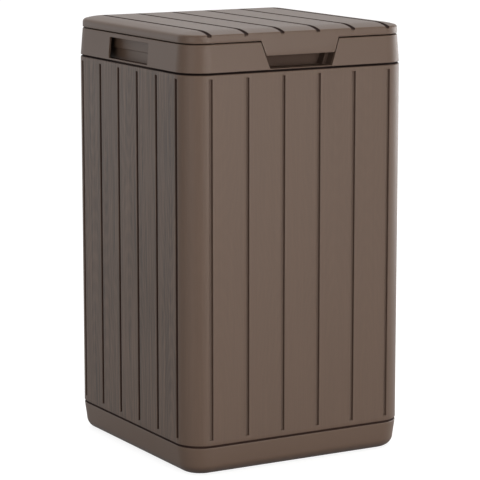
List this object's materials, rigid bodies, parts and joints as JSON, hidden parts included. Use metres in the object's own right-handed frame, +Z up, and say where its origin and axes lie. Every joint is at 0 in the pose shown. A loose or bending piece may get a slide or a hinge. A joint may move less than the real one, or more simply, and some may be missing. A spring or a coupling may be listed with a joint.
{
  "type": "deck storage box",
  "caption": "Upright square resin storage box with plank-look walls, rounded base, rim with side hand grips and front finger gap, and a rear-hinged lid.",
  "frame": {"origin": "centre of the underside, on the ground", "axes": "+Z up, front with the pull tab towards -Y, +X to the right seen from the front"},
  "size_m": [0.43, 0.43, 0.744],
  "materials": {
    "plank_resin": "matte wood-grain moulding",
    "body_resin": "satin moulding",
    "lid_resin": "satin moulding with fine grain",
    "inner_resin": "matte",
    "steel": "zinc plated"
  },
  "bodies": {
    "box": {"base_tray": "body_resin", "front_panel": "plank_resin", "back_panel": "plank_resin", "left_panel": "plank_resin", "right_panel": "plank_resin", "front_left_joint_strip": "inner_resin", "front_right_joint_strip": "inner_resin", "back_left_joint_strip": "inner_resin", "back_right_joint_strip": "inner_resin", "rim_frame": "body_resin", "left_hinge_pin": "steel", "right_hinge_pin": "steel", "base_screws": "steel", "rim_screws": "steel"},
    "lid": {"lid_shell": "lid_resin", "lid_liner": "inner_resin", "lid_screws": "steel"}
  },
  "joints": [
    {"name": "lid_hinge", "type": "hinge", "parent": "box", "child": "lid", "pos_m": [0, 0.207, 0.731], "axis": [-1, 0, 0], "range_deg": [0, 105]}
  ]
}
